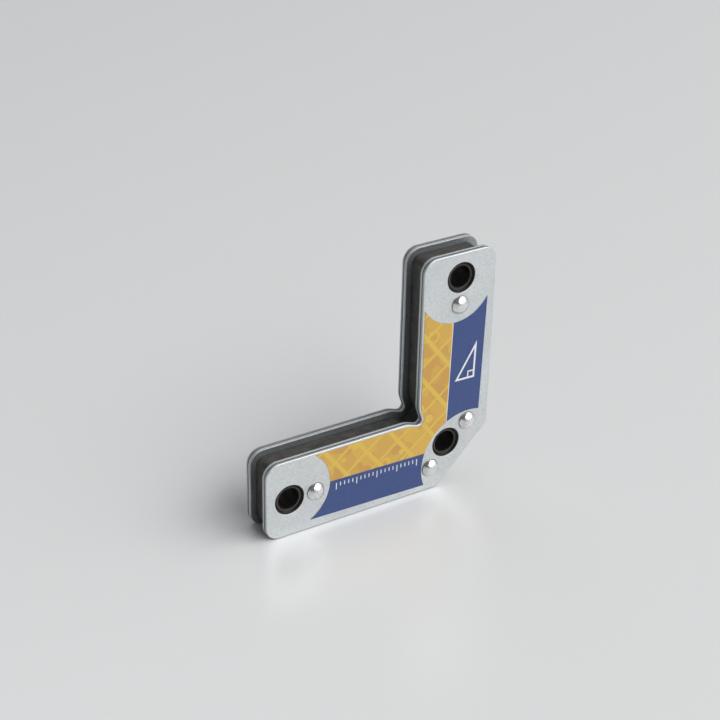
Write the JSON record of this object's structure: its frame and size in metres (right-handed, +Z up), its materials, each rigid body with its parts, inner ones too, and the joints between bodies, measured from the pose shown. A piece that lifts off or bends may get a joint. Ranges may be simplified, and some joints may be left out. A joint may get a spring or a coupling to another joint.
{
  "type": "magnetic welding square",
  "caption": "L-shaped magnetic square that holds steel parts at a right angle for welding: zinc plated pole sheets riveted over a black core, with bushed through holes.",
  "frame": {"origin": "under the middle of the base arm, on the surface it stands on, halfway through the thickness", "axes": "+X along the base arm towards the outer corner, +Y from the labelled front to the rear, +Z up along the upright arm"},
  "size_m": [0.1094, 0.022, 0.1094],
  "materials": {
    "zinc_sheet": "zinc plated, satin",
    "core_plastic": "moulded, matte black",
    "ferrite": "ground sintered ferrite, charcoal",
    "bush_plastic": "semi-gloss black",
    "rivet_steel": "bright nickel plated",
    "label_film": "printed satin film, blue and yellow fields"
  },
  "bodies": {
    "root": {"front_outer_sheet": "zinc_sheet", "front_inner_sheet": "zinc_sheet", "rear_inner_sheet": "zinc_sheet", "rear_outer_sheet": "zinc_sheet", "core_frame": "core_plastic", "upright_magnet": "ferrite", "base_magnet": "ferrite", "corner_bush": "bush_plastic", "upright_bush": "bush_plastic", "base_bush": "bush_plastic", "rivets": "rivet_steel", "label": "label_film"}
  },
  "joints": []
}
